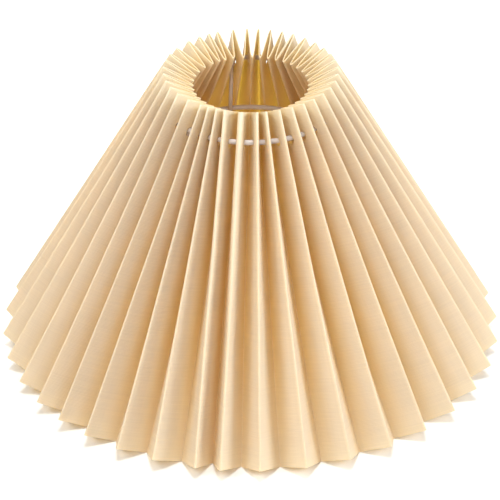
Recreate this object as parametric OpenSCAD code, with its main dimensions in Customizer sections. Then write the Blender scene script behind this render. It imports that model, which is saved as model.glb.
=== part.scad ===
// Pleated lamp shade: one folded sheet, gathered on a threaded wire ring, that lifts off a wire
// carrier with a lamp-holder collar. Millimetres, +Z up, origin at the centre of the bottom edge.
// Azimuths are degrees from the front, -Y, and grow towards +X.

/* [Shade] */
// Diameter across the outer folds at the bottom edge
bottom_d = 300; // [296:1:306]
// Angle between the folds and the vertical
slope = 30; // [29:0.5:31]

/* [Pleated sheet] */
// Number of pleats around the shade
pleat_count = 40; // [38:1:42]
// Width of a panel, from an outer fold to the next inner fold
panel_w = 20; // [19:0.5:21]
// Length of a fold, from the bottom edge to the top edge
fold_l = 200; // [196:1:202]
// Thickness of the laminated sheet
sheet_t = 0.5; // [0.3:0.05:0.6]
// Diameter of the holes that the gather ring threads through
hole_d = 6; // [5.4:0.1:6.2]

/* [Gather ring] */
// Diameter of both rings' wire
ring_wire_d = 3; // [2.5:0.1:3.2]
// Radius of the gather ring, to the middle of its wire
gather_r = 50; // [49.5:0.1:50.5]
// Height of the gather ring above the bottom edge
gather_z = 162; // [161.5:0.5:162.5]
// Gap between the gather ring's two butted ends
ring_gap = 0.4; // [0.2:0.1:1]
// Length of the sleeve that closes the gather ring
sleeve_l = 16; // [12:1:24]
// Wall of the sleeve
sleeve_wall = 0.5; // [0.4:0.05:0.6]
// Azimuth of the sleeve
sleeve_azimuth = 100; // [80:1:110]

/* [Carrier] */
// Radius of the lower ring, to the middle of its wire
carrier_r = 58; // [56:0.5:58]
// Height of the lower ring above the bottom edge
carrier_z = 123.7; // [121:0.1:126]
// Diameter of the arms' wire
arm_wire_d = 2.5; // [2.2:0.1:2.5]
// Height of the arms' spokes above the bottom edge
spoke_z = 114; // [108:1:116]
// Bore of the collar, for an E27 lamp holder
collar_bore_d = 41; // [40:0.5:44]
// Outer diameter of the collar
collar_d = 58; // [54:1:64]
// Thickness of the collar
collar_t = 2; // [1.5:0.1:3]
// Azimuth near which the first arm stands, in the fold closest to it
arm_azimuth = -171; // [-176:1:-168]

/* [Hidden] */
$fn = 64;

// Hand-set pleats wander from even spacing: [azimuth, degrees of drift] along each rim
bottom_drift = [
    [-180, 6], [-108, 4], [-68, 7.8], [-45, 6], [-27, 5.5], [-18, 6],
    [-9, 2.5], [0, 2], [27, 5], [72, 9.2], [90, 11.4], [180, 6]
];
top_drift = [
    [-180, 2.5], [-171, 3], [-162, 5], [-153, 2.5], [-144, 1], [-135, 1.5], [-126, 5], [-63, 8],
    [-45, 11], [-18, 1.2], [0, 4], [9, 1], [45, 0], [117, 4.2], [144, 5.8], [171, 3.7], [180, 2.5]
];
pitch = 360 / pleat_count;
bottom_r = bottom_d / 2;
top_r = bottom_r - fold_l * sin(slope);
// Stretches that each fold is divided into, because a panel twists a little from bottom to top
levels = 6;
// Free gap around the gather ring in the arms' hooks, and how far a weld joins two wires
hook_gap = 0.3;
weld_bite = 0.3;
// The sheet hangs on the wire, so the middles of its holes lie a little below and outside the wire's
hole_drop = 0.6;
hole_out = 0.3;
// An arm's shank ends at this radius, under the gather ring, and its upturned tip has this height
seat_r = gather_r + 0.6;
hook_h = 4.8;
hook_bend_r = 1.5;
// Facets around an arm's wire, and stretches in each of its bends
wire_sides = 16;
bend_steps = 6;
// An arm starts over the middle of the collar's plate
spoke_start_r = (collar_bore_d + collar_d) / 4;
// Chamfer of the collar's outer edges
collar_edge = 0.4;

// Depth of an evenly spaced pleat whose outer folds lie at radius r
function pleat_depth(r) = sqrt(panel_w ^ 2 - (r * sin(pitch / 2)) ^ 2);
// The inner folds' lower ends stand on z = 0, and the sheet's thickness dips a little below its middle
stand_z = (pleat_depth(bottom_r) + sheet_t / 2 * bottom_r * sin(pitch / 2) / panel_w) * sin(slope);

function unit(v) = v / norm(v);
function mix(a, b, t) = a * (1 - t) + b * t;
function around(a) = a - 360 * floor((a + 180) / 360);
function polar(r, azimuth, z) = [r * sin(azimuth), -r * cos(azimuth), z];
function drifted(i, drift) = i * pitch + lookup(around(i * pitch), drift);

// Middle of the sheet on outer fold i and on the inner fold after it, from t = 0, bottom, to 1, top
function outer_fold(i, t) = mix(
    polar(bottom_r, drifted(i, bottom_drift), stand_z),
    polar(top_r, drifted(i, top_drift), stand_z + fold_l * cos(slope)),
    t
);
function inner_fold(i, t) =
    let(
        a = outer_fold(i, t),
        b = outer_fold(i + 1, t),
        mid = (a + b) / 2,
        depth = sqrt(panel_w ^ 2 - norm(b - a) ^ 2 / 4),
        drop = pleat_depth(mix(bottom_r, top_r, t)) * sin(slope)
    )
    mid - unit([mid.x, mid.y, 0]) * depth * cos(slope) - [0, 0, drop];
function fold(j, t) = j % 2 == 0 ? outer_fold(j / 2, t) : inner_fold((j - 1) / 2, t);

// Outward normals of the two panels that meet on fold j: the one before it and the one after it
function panel_normals(j, t) =
    let(
        here = fold(j, t),
        along = fold(j, min(t + 0.05, 1)) - fold(j, max(t - 0.05, 0))
    )
    [
        unit(cross(along, fold(j + 2 * pleat_count - 1, t) - here)),
        unit(cross(fold(j + 1, t) - here, along))
    ];

// Where the two faces of the sheet turn on fold j: one mitred point on the inside of the bend,
// and two points, a sheet's thickness apart, on its outside. side is 1 outside and -1 inside.
function face_points(j, t, side) =
    let(
        here = fold(j, t),
        normals = panel_normals(j, t),
        both = normals[0] + normals[1],
        convex = (j % 2 == 0) == (side > 0)
    )
    convex
        ? [for (n = normals) here + side * n * sheet_t / 2]
        : [here + side * both * sheet_t / (both * both)];

// Azimuth of the pocket nearest to an azimuth: an outer fold with an inner fold on each side of it,
// all at the height of the gather ring
function pocket_azimuth(azimuth) =
    let(
        i = round(azimuth / pitch),
        t = (gather_z - stand_z) / (fold_l * cos(slope)),
        inner_t = t + pleat_depth(gather_r) * sin(slope) / (fold_l * cos(slope)),
        p = outer_fold(i, t) + inner_fold(i - 1, inner_t) + inner_fold(i, inner_t)
    )
    atan2(p.x, -p.y);

// ---- The folded sheet

module folded_sheet() {
    folds = 2 * pleat_count;
    ring = 3 * pleat_count;
    points = [
        for (side = [1, -1])
            for (level = [0 : levels])
                for (j = [0 : folds - 1])
                    each face_points(j, level / levels, side)
    ];
    function at(side, level, k) = (side * (levels + 1) + level) * ring + k % ring;
    // Triangles of a quadrilateral whose corners run clockwise as seen from outside the solid
    function quad(a, b, c, d) = [[a, b, c], [a, c, d]];
    walls = [
        for (level = [0 : levels - 1])
            for (k = [0 : ring - 1])
                each concat(
                    quad(at(0, level, k), at(0, level + 1, k), at(0, level + 1, k + 1), at(0, level, k + 1)),
                    quad(at(1, level, k), at(1, level, k + 1), at(1, level + 1, k + 1), at(1, level + 1, k))
                )
    ];
    // One pleat of a cut edge: the outer fold's tip, a panel, the inner fold's tip, a panel
    function edge(level, q) = concat(
        [[at(1, level, 3 * q), at(0, level, 3 * q + 1), at(0, level, 3 * q)]],
        quad(at(1, level, 3 * q), at(1, level, 3 * q + 1), at(0, level, 3 * q + 2), at(0, level, 3 * q + 1)),
        [[at(1, level, 3 * q + 1), at(1, level, 3 * q + 2), at(0, level, 3 * q + 2)]],
        quad(at(1, level, 3 * q + 2), at(1, level, 3 * q + 3), at(0, level, 3 * q + 3), at(0, level, 3 * q + 2))
    );
    edges = [
        for (q = [0 : pleat_count - 1])
            each concat(edge(levels, q), [for (f = edge(0, q)) [f[2], f[1], f[0]]])
    ];
    polyhedron(points, concat(walls, edges));
}

module pleated_sheet() {
    color([0.95, 0.84, 0.68])
        difference() {
            folded_sheet();
            translate([0, 0, gather_z - hole_drop]) torus(gather_r + hole_out, hole_d);
        }
}

// ---- Wire

module torus(r, wire_d, angle = 360) {
    rotate_extrude(angle = angle, $fn = 180)
        translate([r, 0])
            circle(d = wire_d, $fn = 32);
}

// Puts the plane of a drawing, x outwards and y up, at an azimuth
module stand_at(azimuth) {
    rotate([0, 0, azimuth - 90])
        rotate([90, 0, 0])
            children();
}

// Round wire through the points of a plane, every corner bent to a radius and the far end domed
module bent_wire(points, wire_d, bend_r) {
    last = len(points) - 1;
    function heading(k) = unit(points[k + 1] - points[k]);
    function turn(k) = let(a = heading(k - 1), b = heading(k)) atan2(cross(a, b), a * b);
    function bend(k) =
        let(
            start = points[k] - heading(k - 1) * bend_r * tan(abs(turn(k)) / 2),
            left = sign(turn(k)) * [-heading(k - 1).y, heading(k - 1).x]
        )
        [
            for (step = [0 : bend_steps])
                let(a = abs(turn(k)) * step / bend_steps)
                    start + bend_r * (heading(k - 1) * sin(a) + left * (1 - cos(a)))
        ];
    path = [points[0], for (k = [1 : last - 1]) each bend(k), points[last]];
    end = len(path) - 1;
    function along(i) = unit(path[min(i + 1, end)] - path[max(i - 1, 0)]);
    function section(centre, direction, r) = [
        for (side = [0 : wire_sides - 1])
            let(a = side * 360 / wire_sides, c = centre + r * cos(a) * [-direction.y, direction.x])
                [c.x, c.y, r * sin(a)]
    ];
    rings = [
        for (i = [0 : end]) section(path[i], along(i), wire_d / 2),
        for (a = [30, 60]) section(path[end] + along(end) * wire_d / 2 * sin(a), along(end), wire_d / 2 * cos(a))
    ];
    count = len(rings);
    tip = path[end] + along(end) * wire_d / 2;
    function at(ring, side) = ring * wire_sides + side % wire_sides;
    skin = [
        for (ring = [0 : count - 2])
            for (side = [0 : wire_sides - 1])
                each [
                    [at(ring, side), at(ring + 1, side + 1), at(ring + 1, side)],
                    [at(ring, side), at(ring, side + 1), at(ring + 1, side + 1)]
                ]
    ];
    start_cap = [[for (side = [wire_sides - 1 : -1 : 0]) side]];
    dome = [for (side = [0 : wire_sides - 1]) [at(count - 1, side), at(count - 1, side + 1), count * wire_sides]];
    polyhedron(concat([for (ring = rings) each ring], [[tip.x, tip.y, 0]]), concat(skin, start_cap, dome));
}

// Butted at the side, inside the sleeve
module gather_ring() {
    gap_angle = ring_gap / gather_r * 180 / PI;
    color([0.93, 0.92, 0.9])
        translate([0, 0, gather_z])
            rotate([0, 0, sleeve_azimuth - 90 + gap_angle / 2])
                torus(gather_r, ring_wire_d, 360 - gap_angle);
}

// Thin tube over the ring's butted ends, bent with the ring and small enough for the punched holes
module ring_sleeve() {
    sleeve_angle = sleeve_l / gather_r * 180 / PI;
    color([0.86, 0.86, 0.85])
        translate([0, 0, gather_z])
            rotate([0, 0, sleeve_azimuth - 90 - sleeve_angle / 2])
                rotate_extrude(angle = sleeve_angle, $fn = 180)
                    translate([gather_r, 0])
                        difference() {
                            circle(d = ring_wire_d + 2 * sleeve_wall, $fn = 32);
                            circle(d = ring_wire_d, $fn = 32);
                        }
}

module carrier_ring() {
    color([0.93, 0.92, 0.9])
        translate([0, 0, carrier_z])
            torus(carrier_r, ring_wire_d);
}

// A spoke from the collar that rises past the lower ring and ends in an upturned hook, in which the
// gather ring rests. Welded to the collar's top and to the inside of the lower ring.
module arm(azimuth) {
    seat_z = gather_z - (ring_wire_d + arm_wire_d) / 2 - hook_gap;
    tip_r = gather_r - (ring_wire_d + arm_wire_d) / 2 - hook_gap;
    weld_r = carrier_r - (ring_wire_d + arm_wire_d) / 2 + weld_bite;
    shank_lean = (weld_r - seat_r) / (seat_z - carrier_z);
    color([0.93, 0.92, 0.9])
        stand_at(pocket_azimuth(azimuth))
            bent_wire(
                [
                    [spoke_start_r, spoke_z],
                    [weld_r + (carrier_z - spoke_z) * shank_lean, spoke_z],
                    [seat_r, seat_z],
                    [tip_r, seat_z],
                    [tip_r, seat_z + hook_h]
                ],
                arm_wire_d, hook_bend_r
            );
}
module arm_back() arm(arm_azimuth);
module arm_right() arm(arm_azimuth + 240);
module arm_left() arm(arm_azimuth + 120);

// Flat pressed ring, with its edges rounded, that a lamp holder's own ring clamps
module fitter_collar() {
    top_z = spoke_z - arm_wire_d / 2 + weld_bite;
    color([0.93, 0.92, 0.9])
        translate([0, 0, top_z - collar_t])
            rotate_extrude($fn = 128)
                polygon([
                    [collar_bore_d / 2, 0],
                    [collar_d / 2 - collar_edge, 0],
                    [collar_d / 2, collar_edge],
                    [collar_d / 2, collar_t - collar_edge],
                    [collar_d / 2 - collar_edge, collar_t],
                    [collar_bore_d / 2, collar_t]
                ]);
}

// ---- Draw

pleated_sheet();
gather_ring();
ring_sleeve();
carrier_ring();
arm_back();
arm_right();
arm_left();
fitter_collar();
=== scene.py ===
"""A pleated lamp shade on a pale floor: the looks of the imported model. Metres, +Z up, front at -Y."""
import math

import bmesh
import bpy
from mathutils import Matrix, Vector, noise


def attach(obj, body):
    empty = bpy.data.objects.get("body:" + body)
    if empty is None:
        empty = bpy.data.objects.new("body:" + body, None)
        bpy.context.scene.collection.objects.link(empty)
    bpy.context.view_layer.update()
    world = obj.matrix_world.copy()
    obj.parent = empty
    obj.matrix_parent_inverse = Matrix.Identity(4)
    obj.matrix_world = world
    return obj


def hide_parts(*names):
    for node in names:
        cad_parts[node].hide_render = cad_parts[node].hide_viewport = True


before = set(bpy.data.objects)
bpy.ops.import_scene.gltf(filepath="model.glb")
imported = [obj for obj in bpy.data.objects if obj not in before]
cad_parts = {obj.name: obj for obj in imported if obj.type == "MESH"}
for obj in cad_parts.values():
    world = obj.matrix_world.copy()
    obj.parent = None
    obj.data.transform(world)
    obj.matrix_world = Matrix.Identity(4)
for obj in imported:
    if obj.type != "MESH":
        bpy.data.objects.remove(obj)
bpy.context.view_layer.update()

MM = 0.001

# The sheet, as in the CAD model
BOTTOM_R = 150 * MM
SLOPE = math.radians(30)
PLEATS = 40
PANEL_W = 20 * MM
FOLD_L = 200 * MM
SHEET_T = 0.5 * MM
HOLE_R = 3 * MM
HOLE_DROP = 0.6 * MM
HOLE_OUT = 0.3 * MM
FOLDS = 2 * PLEATS
PITCH = 360 / PLEATS
HALF_STEP = math.sin(math.radians(PITCH / 2))  # half the way between two outer folds, per radius
TOP_R = BOTTOM_R - FOLD_L * math.sin(SLOPE)
# Hand-set pleats wander from even spacing: (azimuth, degrees of drift) along each rim
BOTTOM_DRIFT = [
    (-180, 6), (-108, 4), (-68, 7.8), (-45, 6), (-27, 5.5), (-18, 6),
    (-9, 2.5), (0, 2), (27, 5), (72, 9.2), (90, 11.4), (180, 6),
]
TOP_DRIFT = [
    (-180, 2.5), (-171, 3), (-162, 5), (-153, 2.5), (-144, 1), (-135, 1.5), (-126, 5), (-63, 8),
    (-45, 11), (-18, 1.2), (0, 4), (9, 1), (45, 0), (117, 4.2), (144, 5.8), (171, 3.7), (180, 2.5),
]

# The wires and the collar, as in the CAD model
GATHER_R = 50 * MM
GATHER_Z = 162 * MM
RING_WIRE_R = 1.5 * MM
ARM_WIRE_R = 1.25 * MM
CARRIER_R = 58 * MM
CARRIER_Z = 123.7 * MM
SPOKE_Z = 114 * MM
HOOK_GAP = 0.3 * MM
HOOK_H = 4.8 * MM
HOOK_BEND_R = 1.5 * MM
SEAT_OUT = 0.6 * MM
WELD_BITE = 0.3 * MM
COLLAR_BORE_R = 20.5 * MM
COLLAR_R = 29 * MM
COLLAR_T = 2 * MM
SLEEVE_L = 16 * MM
SLEEVE_R = 2 * MM
SLEEVE_AZIMUTH = 100
ARMS = {"arm_back": -171, "arm_right": 69, "arm_left": -51}

# The sheet's finer shape
LAP_FOLD = 16  # the lap is glued on the panel after this outer fold, at the back right
LAP_INSET = 1.5 * MM  # the strip's two ends stop this far from the creases beside the lap
LAP_EASE = 4 * LAP_INSET  # the mesh is drawn in evenly over this width to make that inset
LAP_LIFT = 0.3 * MM  # the two layers of the lap lie this far either side of the sheet's middle
FIRST_PANEL = 2 * LAP_FOLD
LAST_PANEL = FIRST_PANEL + FOLDS  # one panel past a full turn
OUTER_BEND = 0.16 * MM  # bend radii of the creases
INNER_BEND = 0.12 * MM
# Two pleats at the front were set softly, mostly above the middle: fold number to bend radius
SOFT_BENDS = {FOLDS - 4: 0.35 * MM, FOLDS - 2: 0.6 * MM}
SOFT_BELOW = 0.35  # the share of the softness that is left at the bottom edge
SOFT_RISE = (0.3, 0.8)  # it grows between these shares of the fold's length
WAVE = 0.3 * MM  # how far a panel wavers between its folds
SWAY = 0.5 * MM  # how far a fold wanders from straight half way up
HOLE_MISS = 0.5 * MM  # how far a hole is punched from its true place
# Patterns of noise: the step from fold to fold, the step along the fold, and a layer of its own
WAVE_PATTERN = (5.3, 18, 2)
SWAY_PATTERN = (3.7, 2.2, 8)
MISS_PATTERN = (9.1, 7, 4)

# The sheet's mesh
HOLE_X = 9.5 * MM  # the holes' nominal place, from the outer fold and from the bottom edge
HOLE_S = 181.5 * MM
HOLE_WINDOW = 4 * MM  # half the side of the square of mesh that is rebuilt round a hole
WINDOW_STEPS = 4  # the window's sides are divided into so many
HOLE_RINGS = (0.5, 0.85, 1.0)  # loops between the window's edge and the hole's, as shares of the way
CREASE_COLUMNS = [0, 0.12, 0.4, 0.9, 1.7, 2.9, 4.6, 6.4]  # mm from a crease, denser near it
COLUMN_GAP = 1 * MM  # the least gap between those columns and the window
ROW_STEP = 5 * MM
SAME_PLACE = 0.01 * MM  # points of neighbouring panels this close are one
CROSSING_STEPS = 12
CROSSING_SHARE = 0.8  # how much of the remaining miss each step takes away

# The metal's finer shape
WIRE_SIDES = 28
DOME_ANGLES = (20, 40, 60, 80)  # rings of mesh round a wire's domed tip
BEND_STEPS = 12
COLLAR_EDGE_R = 0.6 * MM
COLLAR_CORNER_STEPS = 4
COLLAR_TURN_STEPS = 120
RING_BEAD = (2.6 * MM, 2.3 * MM, 1.3 * MM)  # half sizes of the weld beads
COLLAR_BEAD = (3.2 * MM, 2.4 * MM, 1.0 * MM)
COLLAR_BEAD_IN = 2.5 * MM  # from the collar's outside
COLLAR_BEAD_UP = 0.4 * MM  # from the arm's underside
BEAD_ROUGH = 0.16  # how far a bead's surface strays, as a share of its size
BEAD_LUMPS = 1.7  # how fine its lumps are
SECOND_BEAD = 5  # gives an arm's second bead other lumps than its first
SLEEVE_STEPS = 48
NIP_DEPTH = 0.32 * MM
NIP_PLACES = (-0.5, 0.5)  # along the sleeve, from -1 at one end to 1 at the other
NIP_NARROWNESS = 5.5
NIP_ROUND = 0.45  # the share of a nip that goes all round: the rest makes it oval
END_TAPER = 0.12 * MM  # how far the sleeve narrows at its very ends
TAPER_FROM = 0.9  # along the sleeve, as for the nips

# Edges sharper than this many degrees stay crisp
CRISP_SHEET = 38
CRISP_METAL = 40
CRISP_BEAD = 60


# ---- Sheet geometry


def lookup(a, table):
    """Straight-line interpolation in a table of pairs."""
    for (a0, v0), (a1, v1) in zip(table, table[1:]):
        if a <= a1:
            return v0 + (v1 - v0) * (a - a0) / (a1 - a0)
    return table[-1][1]


def smoothstep(a, b, x):
    x = min(max((x - a) / (b - a), 0), 1)
    return x * x * (3 - 2 * x)


def polar(r, azimuth, z):
    """A point by its distance from the axis, its azimuth in degrees from the front, and its height."""
    a = math.radians(azimuth)
    return Vector((r * math.sin(a), -r * math.cos(a), z))


def round_axis(p):
    """The level direction at p that runs round the axis."""
    return Vector((-p.y, p.x, 0)).normalized()


def uneven(j, up, pattern):
    """Smooth noise at a place on fold or panel j, the same again after a full turn."""
    per_fold, per_step, layer = pattern
    return noise.noise(Vector((j % FOLDS * per_fold, up * per_step, layer)))


def drifted(i, table):
    """Azimuth of outer fold i at one rim."""
    a = i * PITCH
    return a + lookup((a + 180) % 360 - 180, table)


def pleat_depth(r):
    """Depth of an evenly spaced pleat whose outer folds lie at radius r."""
    return math.sqrt(PANEL_W**2 - (r * HALF_STEP) ** 2)


# Height of the outer folds' lower ends, which stands the lowest inner corners on the floor
STAND_Z = math.sin(SLOPE) * (pleat_depth(BOTTOM_R) + SHEET_T / 2 * BOTTOM_R * HALF_STEP / PANEL_W)
FOLD_ENDS = [
    (
        polar(BOTTOM_R, drifted(i, BOTTOM_DRIFT), STAND_Z),
        polar(TOP_R, drifted(i, TOP_DRIFT), STAND_Z + FOLD_L * math.cos(SLOPE)),
    )
    for i in range(PLEATS)
]


def outer_fold(i, t):
    """Middle of the sheet on outer fold i, from t = 0, bottom, to 1, top."""
    low, high = FOLD_ENDS[i % PLEATS]
    return low.lerp(high, t)


def inner_fold(i, t):
    """Middle of the sheet on the inner fold after outer fold i."""
    a, b = outer_fold(i, t), outer_fold(i + 1, t)
    mid = (a + b) / 2
    depth = math.sqrt(PANEL_W**2 - (b - a).length_squared / 4)
    out = Vector((mid.x, mid.y, 0)).normalized()
    drop = pleat_depth(BOTTOM_R + (TOP_R - BOTTOM_R) * t) * math.sin(SLOPE)
    return mid - out * depth * math.cos(SLOPE) - Vector((0, 0, drop))


def fold(j, t):
    """Fold j of the strip, with its sideways wandering: the even ones are outer folds."""
    p = outer_fold(j // 2, t) if j % 2 == 0 else inner_fold((j - 1) // 2, t)
    return p + round_axis(p) * (SWAY * math.sin(math.pi * t) * uneven(j, t, SWAY_PATTERN))


def outer_bend(j, t):
    """Bend radius of the outer crease on fold j."""
    soft = SOFT_BENDS.get(j % FOLDS, OUTER_BEND)
    return OUTER_BEND + (soft - OUTER_BEND) * (SOFT_BELOW + (1 - SOFT_BELOW) * smoothstep(*SOFT_RISE, t))


def fullness(width, bend, x):
    """How far a crease of this bend radius pushes a panel sideways, at x from the crease."""
    return (math.sqrt((x * width) ** 2 + 2 * bend * x) - x * width) * (1 - x / PANEL_W) ** 2


def place(j, x, s, lift=0.0):
    """A point of the sheet's middle, on panel j, x from its outer fold and s up from the bottom edge."""
    t = s / FOLD_L
    side = 1 if j % 2 == 0 else -1
    crease = j if side > 0 else j + 1
    outer, inner = fold(crease, t), fold(crease + side, t)
    share = x / PANEL_W
    tangent = round_axis(outer)
    width = abs((inner - outer).dot(tangent)) / PANEL_W
    sideways = fullness(width, outer_bend(crease, t), x) - fullness(width, INNER_BEND, PANEL_W - x)
    waver = WAVE * math.sin(math.pi * share) * uneven(j, s, WAVE_PATTERN)
    return outer.lerp(inner, share) + tangent * (side * (sideways + lift) + waver)


def ring_crossing(j):
    """Where the ring's hole is punched on panel j: (x, s), found step by step and then missed a little."""
    x, s = HOLE_X, HOLE_S
    lean = math.sin(SLOPE)
    for _ in range(CROSSING_STEPS):
        p = place(j, x, s)
        miss_r = math.hypot(p.x, p.y) - GATHER_R - HOLE_OUT
        miss_z = p.z - GATHER_Z + HOLE_DROP
        # Across the panel the radius falls, and up it the height grows
        s -= (miss_z - lean * miss_r) * CROSSING_SHARE
        x += (miss_r + lean * miss_z) * CROSSING_SHARE
    return x + HOLE_MISS * uneven(j, 0, MISS_PATTERN), s + HOLE_MISS * uneven(j, 1, MISS_PATTERN)


def lapped(j, x):
    """The place across panel j, drawn in at the strip's two ends, and its lift off the sheet's middle."""
    if j == FIRST_PANEL:
        x += LAP_INSET * (1 - smoothstep(0, LAP_EASE, x))
        return x, -LAP_LIFT * smoothstep(0, LAP_INSET, PANEL_W - x)
    if j == LAST_PANEL:
        x -= LAP_INSET * smoothstep(PANEL_W - LAP_EASE, PANEL_W, x)
        return x, LAP_LIFT * smoothstep(0, LAP_INSET, x)
    return x, 0


# ---- Meshes


def added(name, data):
    """A new object for a mesh, light or camera, in the scene."""
    obj = bpy.data.objects.new(name, data)
    bpy.context.scene.collection.objects.link(obj)
    return obj


def apply_modifiers(obj):
    graph = bpy.context.evaluated_depsgraph_get()
    mesh = bpy.data.meshes.new_from_object(obj.evaluated_get(graph))
    obj.modifiers.clear()
    old, obj.data = obj.data, mesh
    bpy.data.meshes.remove(old)
    mesh.name = obj.name


def smooth(obj, degrees):
    """Smooth shading, with edges sharper than this angle kept crisp."""
    obj.data.shade_smooth()
    obj.data.set_sharp_from_angle(angle=math.radians(degrees))


def mesh_piece(name, points, faces, material, slot, body, crisp=CRISP_METAL):
    """A piece of the object, made from points and faces, that rides on a body."""
    mesh = bpy.data.meshes.new(name)
    mesh.from_pydata(points, [], faces)
    mesh.materials.append(material)
    obj = added(name, mesh)
    smooth(obj, crisp)
    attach(obj, body)
    return obj


def window_lines(middle):
    """Lines of the mesh across the square round a hole, where its middle is at this place."""
    return [middle + HOLE_WINDOW * (2 * k / WINDOW_STEPS - 1) for k in range(WINDOW_STEPS + 1)]


def grid_lines():
    """The template's columns across a panel, from its outer fold, its rows, and where the window starts."""
    across, window = window_lines(HOLE_X), window_lines(HOLE_S)
    creases = [x * MM for x in CREASE_COLUMNS]
    columns = [x for x in creases if x < across[0] - COLUMN_GAP]
    columns += across
    columns += [PANEL_W - x for x in reversed(creases) if PANEL_W - x > across[-1] + COLUMN_GAP]
    below = round(window[0] / ROW_STEP)
    above = round((FOLD_L - window[-1]) / ROW_STEP)
    rows = [window[0] * k / below for k in range(below)]
    rows += window
    rows += [window[-1] + (FOLD_L - window[-1]) * (k + 1) / above for k in range(above)]
    return columns, rows, columns.index(across[0]), rows.index(window[0])


def panel_template():
    """Points and faces of one flat panel with its punched hole, in (x, s)."""
    columns, rows, first_x, first_s = grid_lines()
    points = [(x, s) for s in rows for x in columns]
    wide = len(columns)
    n = WINDOW_STEPS
    faces = []
    for b in range(len(rows) - 1):
        for a in range(wide - 1):
            if first_x <= a < first_x + n and first_s <= b < first_s + n:
                continue
            k = b * wide + a
            faces.append((k, k + 1, k + 1 + wide, k + wide))
    # The window's edge, counter-clockwise from its lower left corner
    steps = [(k, 0) for k in range(n)] + [(n, k) for k in range(n)]
    steps += [(n - k, n) for k in range(n)] + [(0, n - k) for k in range(n)]
    edge = [(first_s + b) * wide + first_x + a for a, b in steps]
    loop = edge
    # Loops of points that shrink from the window's edge to the hole's circle
    for share in HOLE_RINGS:
        inner = []
        for k in edge:
            dx, ds = points[k][0] - HOLE_X, points[k][1] - HOLE_S
            far = math.hypot(dx, ds)
            reach = far + (HOLE_R - far) * share
            inner.append(len(points))
            points.append((HOLE_X + dx / far * reach, HOLE_S + ds / far * reach))
        for k in range(len(loop)):
            m = (k + 1) % len(loop)
            faces.append((loop[k], loop[m], inner[m], inner[k]))
        loop = inner
    return points, faces


def shifted(x, s, to_x, to_s):
    """Moves a template point with the hole, so that the hole lies round the ring."""
    near = smoothstep(0, HOLE_X - HOLE_WINDOW, x)
    near *= smoothstep(0, PANEL_W - HOLE_X - HOLE_WINDOW, PANEL_W - x)
    near *= 1 - smoothstep(HOLE_WINDOW, 4 * HOLE_WINDOW, abs(s - HOLE_S))
    return x + (to_x - HOLE_X) * near, s + (to_s - HOLE_S) * near


def strip_mesh(name):
    """The strip's middle surface, pleated, punched and lapped. UVs are metres on the flat strip."""
    template, template_faces = panel_template()
    points, faces, strip = [], [], []
    for j in range(FIRST_PANEL, LAST_PANEL + 1):
        to_x, to_s = ring_crossing(j)
        base = len(points)
        for x, s in template:
            x, s = shifted(x, s, to_x, to_s)
            strip.append(((j - FIRST_PANEL) * PANEL_W + (x if j % 2 == 0 else PANEL_W - x), s))
            x, lift = lapped(j, x)
            points.append(place(j, x, s, lift))
        for face in template_faces:
            corners = face if j % 2 == 0 else reversed(face)
            faces.append([base + k for k in corners])
    mesh = bpy.data.meshes.new(name)
    mesh.from_pydata(points, [], faces)
    layer = mesh.uv_layers.new(name="strip")
    for loop in mesh.loops:
        layer.data[loop.index].uv = strip[loop.vertex_index]
    return mesh


def folded_sheet(name, outside, inside):
    """The whole sheet, its panels joined along the creases and given their thickness."""
    mesh = strip_mesh(name)
    joined = bmesh.new()
    joined.from_mesh(mesh)
    bmesh.ops.remove_doubles(joined, verts=joined.verts, dist=SAME_PLACE)
    joined.to_mesh(mesh)
    joined.free()
    mesh.materials.append(outside)
    mesh.materials.append(inside)
    sheet = added(name, mesh)
    thick = sheet.modifiers.new("thickness", "SOLIDIFY")
    thick.thickness = SHEET_T
    thick.offset = 0
    thick.material_offset = 1
    apply_modifiers(sheet)
    smooth(sheet, CRISP_SHEET)
    return sheet


def skin(rings, sides, closed=False):
    """Faces between neighbouring rings of points, and from the last to the first if it is closed."""
    faces = []
    for b in range(rings if closed else rings - 1):
        here, there = b * sides, (b + 1) % rings * sides
        for k in range(sides):
            m = (k + 1) % sides
            faces.append((here + k, there + k, there + m, here + m))
    return faces


def end_face(ring, sides):
    return tuple(range(ring * sides, (ring + 1) * sides))


def tube(path, radius, sides=WIRE_SIDES):
    """Points and faces of round wire along a path in one upright plane, its start flat and its end domed."""
    last = len(path) - 1

    def heading(k):
        return (path[min(k + 1, last)] - path[max(k - 1, 0)]).normalized()

    rings = [(path[k], heading(k), radius) for k in range(last + 1)]
    for degrees in DOME_ANGLES:
        a = math.radians(degrees)
        centre = path[last] + heading(last) * radius * math.sin(a)
        rings.append((centre, heading(last), radius * math.cos(a)))
    across = round_axis(path[0])
    points = []
    for centre, direction, r in rings:
        other = direction.cross(across)
        for k in range(sides):
            a = 2 * math.pi * k / sides
            points.append(centre + across * r * math.cos(a) + other * r * math.sin(a))
    faces = [(a, d, c, b) for a, b, c, d in skin(len(rings), sides)]
    faces.append(end_face(0, sides)[::-1])
    faces.append(end_face(len(rings) - 1, sides))
    return points, faces


def pocket_azimuth(azimuth):
    """Azimuth of the nearest outer fold with an inner fold on each side, all at the ring's height."""
    i = round(azimuth / PITCH)
    rise = FOLD_L * math.cos(SLOPE)
    t = (GATHER_Z - STAND_Z) / rise
    inner_t = t + pleat_depth(GATHER_R) * math.sin(SLOPE) / rise
    p = outer_fold(i, t) + inner_fold(i - 1, inner_t) + inner_fold(i, inner_t)
    return math.degrees(math.atan2(p.x, -p.y))


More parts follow.
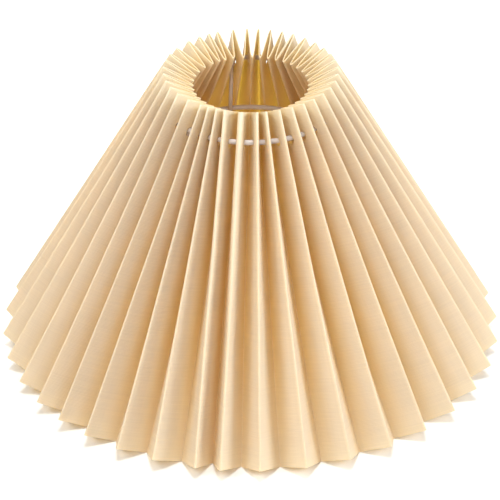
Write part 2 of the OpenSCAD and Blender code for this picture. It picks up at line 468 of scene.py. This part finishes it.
def arm_corners():
    """The arm's corners as (radius, height): spoke, lean shank, seat under the ring, upturned tip."""
    seat_r = GATHER_R + SEAT_OUT
    seat_z = GATHER_Z - RING_WIRE_R - ARM_WIRE_R - HOOK_GAP
    tip_r = GATHER_R - RING_WIRE_R - ARM_WIRE_R - HOOK_GAP
    weld_r = CARRIER_R - RING_WIRE_R - ARM_WIRE_R + WELD_BITE
    lean = (weld_r - seat_r) / (seat_z - CARRIER_Z)
    return [
        Vector(((COLLAR_BORE_R + COLLAR_R) / 2, SPOKE_Z)),
        Vector((weld_r + (CARRIER_Z - SPOKE_Z) * lean, SPOKE_Z)),
        Vector((seat_r, seat_z)),
        Vector((tip_r, seat_z)),
        Vector((tip_r, seat_z + HOOK_H)),
    ]


def rounded(corners, radius):
    """The same path with each inner corner bent to a radius."""
    path = [corners[0]]
    for before, here, after in zip(corners, corners[1:], corners[2:]):
        a, b = (here - before).normalized(), (after - here).normalized()
        turn = math.acos(max(-1, min(1, a.dot(b))))
        start = here - a * radius * math.tan(turn / 2)
        left = Vector((-a.y, a.x)) * (1 if a.x * b.y - a.y * b.x > 0 else -1)
        for k in range(BEND_STEPS + 1):
            angle = turn * k / BEND_STEPS
            path.append(start + radius * (a * math.sin(angle) + left * (1 - math.cos(angle))))
    return path + [corners[-1]]


def weld_bead(centre, along, size, seed):
    """Points and faces of a small rough bead of weld: its half sizes are along, across and through it."""
    bead = bmesh.new()
    bmesh.ops.create_icosphere(bead, subdivisions=3, radius=1)
    askew = Vector((0.3, 0.2, 1))  # no bead runs this way
    across = along.cross(askew).normalized()
    through = along.cross(across).normalized()
    points = []
    for v in bead.verts:
        p = v.co * (1 + BEAD_ROUGH * noise.noise(v.co * BEAD_LUMPS + Vector((seed, 0, 0))))
        points.append(centre + along * p.x * size[0] + across * p.y * size[1] + through * p.z * size[2])
    faces = [tuple(v.index for v in f.verts) for f in bead.faces]
    bead.free()
    return points, faces


def turned(profile, steps):
    """Points and faces of a closed (radius, height) profile turned a full circle."""
    points = [polar(r, 360 * k / steps, z) for k in range(steps) for r, z in profile]
    return points, skin(steps, len(profile), closed=True)


def collar_profile():
    """The collar's section, a flat bar with rounded edges, as (radius, height)."""
    inner, outer = COLLAR_BORE_R + COLLAR_EDGE_R, COLLAR_R - COLLAR_EDGE_R
    top = SPOKE_Z - ARM_WIRE_R + WELD_BITE
    low, high = top - COLLAR_T + COLLAR_EDGE_R, top - COLLAR_EDGE_R
    section = []
    for r, z, start in ((inner, low, 180), (outer, low, 270), (outer, high, 0), (inner, high, 90)):
        for k in range(COLLAR_CORNER_STEPS + 1):
            a = math.radians(start + 90 * k / COLLAR_CORNER_STEPS)
            section.append((r + COLLAR_EDGE_R * math.cos(a), z + COLLAR_EDGE_R * math.sin(a)))
    return section


def crimped_sleeve():
    """Points and faces of the tube over the ring's butted ends, nipped in two places so that it holds."""
    half = math.degrees(SLEEVE_L / 2 / GATHER_R)
    points = []
    for b in range(SLEEVE_STEPS + 1):
        run = 2 * b / SLEEVE_STEPS - 1
        azimuth = SLEEVE_AZIMUTH + half * run
        nip = NIP_DEPTH * sum(math.exp(-(((run - spot) * NIP_NARROWNESS) ** 2)) for spot in NIP_PLACES)
        taper = END_TAPER * smoothstep(TAPER_FROM, 1, abs(run))
        for k in range(WIRE_SIDES):
            a = 2 * math.pi * k / WIRE_SIDES
            r = SLEEVE_R - nip * (NIP_ROUND + (1 - NIP_ROUND) * math.cos(2 * a)) - taper
            points.append(polar(GATHER_R + r * math.cos(a), azimuth, GATHER_Z + r * math.sin(a)))
    faces = skin(SLEEVE_STEPS + 1, WIRE_SIDES)
    faces.append(end_face(0, WIRE_SIDES))
    faces.append(end_face(SLEEVE_STEPS, WIRE_SIDES)[::-1])
    return points, faces


# ---- Materials

# The laminate's weave and marks, as lengths on the flat strip
WEFT_PITCH = 0.75 * MM  # the weft runs along the strip and the warp up it
WARP_PITCH = 0.55 * MM
SLUB_STRETCH = (28, 1100, 1)  # noise stretched along the weft
STREAK_STRETCH = (900, 22, 1)  # and along the warp
TONE_RANGE = (0.15, 0.45)  # the weave's tone runs from dark to light between these
CREASE_LINE_WIDTH = (0.25 * MM, 0.8 * MM)  # the pale line on a crease, partly whitening of the creased film and partly painted highlight, fades between these
CREASE_LINE_RISE = (20 * MM, 140 * MM)  # and it grows between these heights, so it is painted brighter towards the top
CUT_WIDTH = (0.1 * MM, 0.35 * MM)  # the pale cut edge fades between these
VALLEY_SHADE_WIDTH = (4 * MM, 19 * MM)  # the painted shade in the valleys grows between these, away from the outer fold
VALLEY_SHADE_RISE = (-60 * MM, 90 * MM)  # and between these heights: below 0 is off the sheet
PAINTED_RIM_LIGHT_RISE = (FOLD_L - 22 * MM, FOLD_L - 2 * MM)  # painted paler light: the colour of light through the sheet is paled between these heights near the top rim
PALE_SHARE = 0.55  # how much of the pale colour the crease lines, the cut edges and the painted paler light at the rim take
LIGHT_THROUGH = 0.5  # the share of the light that goes through the sheet


class Nodes:
    """A material and short calls that add its nodes. An input is a number, a colour or another socket."""

    def __init__(self, name):
        self.material = bpy.data.materials.new(name)
        self.material.use_nodes = True
        self.tree = self.material.node_tree
        self.tree.nodes.clear()

    def add(self, kind, inputs, **settings):
        node = self.tree.nodes.new("ShaderNode" + kind)
        for key, value in settings.items():
            setattr(node, key, value)
        for key, value in inputs.items():
            if isinstance(value, bpy.types.NodeSocket):
                self.tree.links.new(value, node.inputs[key])
            else:
                node.inputs[key].default_value = value
        return node

    def math(self, operation, a, b=0.0):
        return self.add("Math", {0: a, 1: b}, operation=operation).outputs[0]

    def weighted(self, *terms):
        """The sum of values, each times its weight."""
        total, *rest = [self.math("MULTIPLY", value, weight) for value, weight in terms]
        for term in rest:
            total = self.math("ADD", total, term)
        return total

    def to_nearest(self, value, spacing):
        """Distance from a value to the nearest whole multiple of the spacing."""
        turn = self.math("FRACT", self.math("ADD", self.math("DIVIDE", value, spacing), 0.5))
        return self.math("MULTIPLY", self.math("ABSOLUTE", self.math("SUBTRACT", turn, 0.5)), spacing)

    def band(self, value, low, high, to_low=0.0, to_high=1.0):
        """The value rescaled from low..high to to_low..to_high, smoothly and with its ends held."""
        inputs = {"Value": value, 1: low, 2: high, 3: to_low, 4: to_high}
        return self.add("MapRange", inputs, interpolation_type="SMOOTHSTEP").outputs[0]

    def noise(self, vector, scale, detail=2.0):
        inputs = {"Vector": vector, "Scale": scale, "Detail": detail}
        return self.add("TexNoise", inputs).outputs["Fac"]

    def stretched(self, vector, scale):
        return self.add("Mapping", {"Vector": vector, "Scale": scale}).outputs[0]

    def blend(self, share, a, b):
        return self.add("Mix", {0: share, 6: a, 7: b}, data_type="RGBA").outputs[2]

    def bump(self, height, depth, strength=1.0):
        return self.add("Bump", {"Height": height, "Distance": depth, "Strength": strength}).outputs[0]

    def principled(self, base, roughness, normal, **more):
        inputs = {"Base Color": base, "Roughness": roughness, "Normal": normal}
        inputs.update({key.replace("_", " "): value for key, value in more.items()})
        return self.add("BsdfPrincipled", inputs).outputs[0]

    def finish(self, surface):
        self.add("OutputMaterial", {"Surface": surface})
        return self.material


def rgb(r, g, b):
    return (r, g, b, 1.0)


def dimmed(colour, share):
    return rgb(*[c * share for c in colour])


def woven(n, strip, u, v):
    """The weave's tone and height: uneven threads both ways, slubs, streaks and mottle."""
    wander = n.math("MULTIPLY", n.noise(strip, 60), 0.9)
    weft = n.math("SINE", n.math("ADD", n.math("MULTIPLY", v, 2 * math.pi / WEFT_PITCH), wander))
    warp = n.math("SINE", n.math("ADD", n.math("MULTIPLY", u, 2 * math.pi / WARP_PITCH), wander))
    threads = n.weighted((weft, 0.65), (warp, 0.35))
    slubs = n.noise(n.stretched(strip, SLUB_STRETCH), 1.0, 3.0)
    streaks = n.noise(n.stretched(strip, STREAK_STRETCH), 1.0)
    mottle = n.noise(strip, 45, 3.0)
    tone = n.weighted((slubs, 0.30), (streaks, 0.14), (mottle, 0.16), (threads, 0.03))
    height = n.weighted((threads, 0.5), (slubs, 0.8))
    return n.band(tone, *TONE_RANGE), height


def marks(n, strip, u, v):
    """Shares, 0 to 1, of crease whitening with a painted highlight and of cut edges, of the painted shade in
    the valleys between pleats, and of the painted paler light at the rim.
    """
    # Crease lines: partly whitening of the creased film, partly painted highlight
    crease = n.band(n.to_nearest(u, PANEL_W), *CREASE_LINE_WIDTH, 1.0, 0.0)
    crease_whitening_and_highlight = n.math("MULTIPLY", crease, n.band(n.noise(strip, 130), 0.25, 0.6, 0.55, 1.0))
    crease_whitening_and_highlight = n.math("MULTIPLY", crease_whitening_and_highlight, n.band(v, *CREASE_LINE_RISE, 0.3, 1.0))
    from_edge = n.math("MINIMUM", v, n.math("SUBTRACT", FOLD_L, v))
    edge = n.band(from_edge, *CUT_WIDTH, 0.8, 0.0)
    from_outer = n.to_nearest(u, 2 * PANEL_W)
    # Painted shade: strongest near the inner folds and above the lowest part of the sheet
    painted_valley_shade_mask = n.math("MULTIPLY", n.band(from_outer, *VALLEY_SHADE_WIDTH), n.band(v, *VALLEY_SHADE_RISE))
    return n.math("MAXIMUM", crease_whitening_and_highlight, edge), painted_valley_shade_mask, n.band(v, *PAINTED_RIM_LIGHT_RISE)


def laminate(name, lit, painted_valley_shade, glow, pale, rough, weave_depth):
    """Cream textile on translucent film: its colour lit, a darker colour painted into its valleys as shade,
    its colour lit from behind, and a pale colour for crease whitening with a painted highlight, for cut
    edges and for painted paler light at the rim.
    """
    n = Nodes(name)
    strip = n.add("UVMap", {}, uv_map="strip").outputs[0]
    apart = n.add("SeparateXYZ", {"Vector": strip})
    u, v = apart.outputs[0], apart.outputs[1]
    tone, height = woven(n, strip, u, v)
    whitening_highlight_and_cut, painted_valley_shade_mask, rim = marks(n, strip, u, v)

    fabric = n.blend(tone, dimmed(lit, 0.93), rgb(*lit))
    # Painted shade: the valleys between pleats take a darker, more saturated colour
    fabric = n.blend(painted_valley_shade_mask, fabric, rgb(*painted_valley_shade))
    fabric = n.blend(n.math("MULTIPLY", whitening_highlight_and_cut, PALE_SHARE), fabric, rgb(*pale))
    through = n.blend(tone, dimmed(glow, 0.9), rgb(*glow))
    # Painted light: near the top rim the light through the sheet is painted paler
    through = n.blend(n.math("MULTIPLY", rim, PALE_SHARE), through, rgb(*pale))

    normal = n.bump(height, weave_depth)
    front = n.principled(
        fabric, rough, normal, Specular_IOR_Level=0.3, Sheen_Weight=0.08, Sheen_Roughness=0.5
    )
    back = n.add("BsdfTranslucent", {"Color": through, "Normal": normal}).outputs[0]
    return n.finish(n.add("MixShader", {0: LIGHT_THROUGH, 1: front, 2: back}).outputs[0])


def coated(name, colour, dirt, rough):
    """Powder coat: a fine orange peel, slightly uneven gloss, and grey handling marks in places."""
    n = Nodes(name)
    spot = n.add("TexCoord", {}).outputs["Object"]
    handled = n.band(n.noise(spot, 90, 4.0), 0.5, 0.75)
    base = n.blend(n.math("MULTIPLY", handled, 0.5), rgb(*colour), rgb(*dirt))
    gloss = n.band(n.noise(spot, 300), 0.3, 0.7, rough - 0.06, rough + 0.08)
    peel = n.bump(n.noise(spot, 1400, 1.0), 0.05 * MM, 0.5)
    return n.finish(n.principled(base, gloss, peel))


def bare_steel(name):
    """Bare steel: a fine grain, and a dull oxide in places."""
    n = Nodes(name)
    spot = n.add("TexCoord", {}).outputs["Object"]
    dull = n.band(n.noise(spot, 260, 3.0), 0.4, 0.7)
    base = n.blend(dull, rgb(0.66, 0.66, 0.67), rgb(0.5, 0.49, 0.48))
    gloss = n.band(n.noise(spot, 700), 0.3, 0.7, 0.26, 0.42)
    grain = n.bump(n.noise(spot, 2400), 0.03 * MM, 0.4)
    return n.finish(n.principled(base, gloss, grain, Metallic=1.0))


# painted_valley_shade is a darker colour painted into the valleys as shade
textile = laminate(
    "cream_textile",
    lit=(0.94, 0.89, 0.79), painted_valley_shade=(0.85, 0.67, 0.36), glow=(0.95, 0.76, 0.24), pale=(0.96, 0.91, 0.84),
    rough=0.78, weave_depth=0.08 * MM,
)
film = laminate(
    "laminate_film",
    lit=(0.93, 0.88, 0.78), painted_valley_shade=(0.92, 0.84, 0.68), glow=(0.95, 0.77, 0.36), pale=(0.94, 0.89, 0.80),
    rough=0.5, weave_depth=0.05 * MM,
)
# Painted shade: the white powder coat takes the darker, warmer colour that the wire has in the shade's
# shadow
shade_darkened_wire_coat = coated("shade_darkened_powder_coat", (0.60, 0.54, 0.52), (0.48, 0.43, 0.41), 0.36)
collar_coat = coated("collar_enamel", (0.86, 0.85, 0.84), (0.6, 0.58, 0.56), 0.3)
steel = bare_steel("sleeve_steel")

# ---- Pieces


def add_arm(node, near):
    """An arm of the carrier in the pocket nearest to an azimuth, with its weld beads."""
    azimuth = pocket_azimuth(near)
    route = [polar(p.x, azimuth, p.y) for p in rounded(arm_corners(), HOOK_BEND_R)]
    wire = mesh_piece(node + "_wire", *tube(route, ARM_WIRE_R), shade_darkened_wire_coat, "powder_coated_wire", "carrier")
    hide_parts(node)
    on_ring = polar(CARRIER_R - RING_WIRE_R, azimuth, CARRIER_Z)
    on_collar = polar(COLLAR_R - COLLAR_BEAD_IN, azimuth, SPOKE_Z - ARM_WIRE_R + COLLAR_BEAD_UP)
    beads = {
        "_ring_weld": weld_bead(on_ring, Vector((0, 0, 1)), RING_BEAD, azimuth),
        "_collar_weld": weld_bead(on_collar, polar(1, azimuth, 0), COLLAR_BEAD, azimuth + SECOND_BEAD),
    }
    for ending, bead in beads.items():
        mesh_piece(node + ending, *bead, shade_darkened_wire_coat, "powder_coated_wire", "carrier", CRISP_BEAD)


shade = folded_sheet("pleated_shade", textile, film)
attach(shade, "skirt")
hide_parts("pleated_sheet")

sleeve = mesh_piece("crimped_sleeve", *crimped_sleeve(), steel, "sleeve_steel", "skirt")
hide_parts("ring_sleeve")

for arm, near in ARMS.items():
    add_arm(arm, near)

collar_shape = turned(collar_profile(), COLLAR_TURN_STEPS)
collar = mesh_piece("fitter_plate", *collar_shape, collar_coat, "collar_enamel", "carrier")
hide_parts("fitter_collar")

for ring in ("gather_ring", "carrier_ring"):
    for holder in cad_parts[ring].material_slots:
        holder.material = shade_darkened_wire_coat

# ---- Stage

AIM = Vector((-0.4 * MM, 0, 58.5 * MM))
CAMERA_DISTANCE = 1.471
CAMERA_ELEVATION = 32.8
SENSOR_W = 36
LENS = 177.2
LIT_POINT = Vector((0, 0, 80 * MM))
LIGHT_DISTANCE = 2
LIGHT_SIZE = 0.9
# Soft lights: azimuth, elevation, watts and colour
LIGHTS = {
    "key": (-20, 34, 14, (1, 0.97, 0.88)),
    "fill_right": (22, 34, 9, (0.98, 1, 1)),
    "side_left": (-75, 45, 17.5, (1, 0.98, 0.90)),
    "side_right": (78, 28, 28, (0.96, 1, 1)),
    "top": (0, 90, 26, (0.96, 0.99, 1)),
    "back": (180, 35, 35, (0.86, 0.92, 1)),
}
WORLD_STRENGTH = 0.02
FLOOR_HALF = 4
FLOOR_GREY = 0.84


def aim(obj, target, distance, azimuth, elevation):
    """Puts an object at a distance and direction from its target, and turns it to face it."""
    e = math.radians(elevation)
    obj.location = target + polar(distance * math.cos(e), azimuth, distance * math.sin(e))
    obj.rotation_euler = (target - obj.location).to_track_quat("-Z", "Y").to_euler()


def add_camera():
    camera = added("camera", bpy.data.cameras.new("camera"))
    camera.data.sensor_width = SENSOR_W
    camera.data.lens = LENS
    aim(camera, AIM, CAMERA_DISTANCE, 0, CAMERA_ELEVATION)
    bpy.context.scene.camera = camera


def pale_floor():
    corners = [(x * FLOOR_HALF, y * FLOOR_HALF, 0) for x, y in ((-1, -1), (1, -1), (1, 1), (-1, 1))]
    mesh = bpy.data.meshes.new("floor")
    mesh.from_pydata(corners, [], [(0, 1, 2, 3)])
    n = Nodes("pale_floor")
    grey = rgb(FLOOR_GREY, FLOOR_GREY, FLOOR_GREY)
    shader = n.add("BsdfPrincipled", {"Base Color": grey, "Roughness": 0.9})
    mesh.materials.append(n.finish(shader.outputs[0]))
    added("floor", mesh)


def white_world():
    world = bpy.data.worlds.new("studio")
    world.use_nodes = True
    background = world.node_tree.nodes["Background"]
    background.inputs["Color"].default_value = rgb(1, 1, 1)
    background.inputs["Strength"].default_value = WORLD_STRENGTH
    bpy.context.scene.world = world


def soft_light(name, azimuth, elevation, watts, colour):
    """A round area light that faces the shade."""
    lamp = bpy.data.lights.new(name, "AREA")
    lamp.shape = "DISK"
    lamp.size = LIGHT_SIZE
    lamp.energy = watts
    lamp.color = colour
    aim(added(name, lamp), LIT_POINT, LIGHT_DISTANCE, azimuth, elevation)


add_camera()
pale_floor()
white_world()
for name, settings in LIGHTS.items():
    soft_light(name, *settings)
bpy.context.scene.view_settings.view_transform = "Standard"
# Light bounces many times between the pleats before it leaves them
bpy.context.scene.cycles.diffuse_bounces = 8
bpy.context.scene.cycles.transmission_bounces = 12
bpy.context.scene.cycles.max_bounces = 16
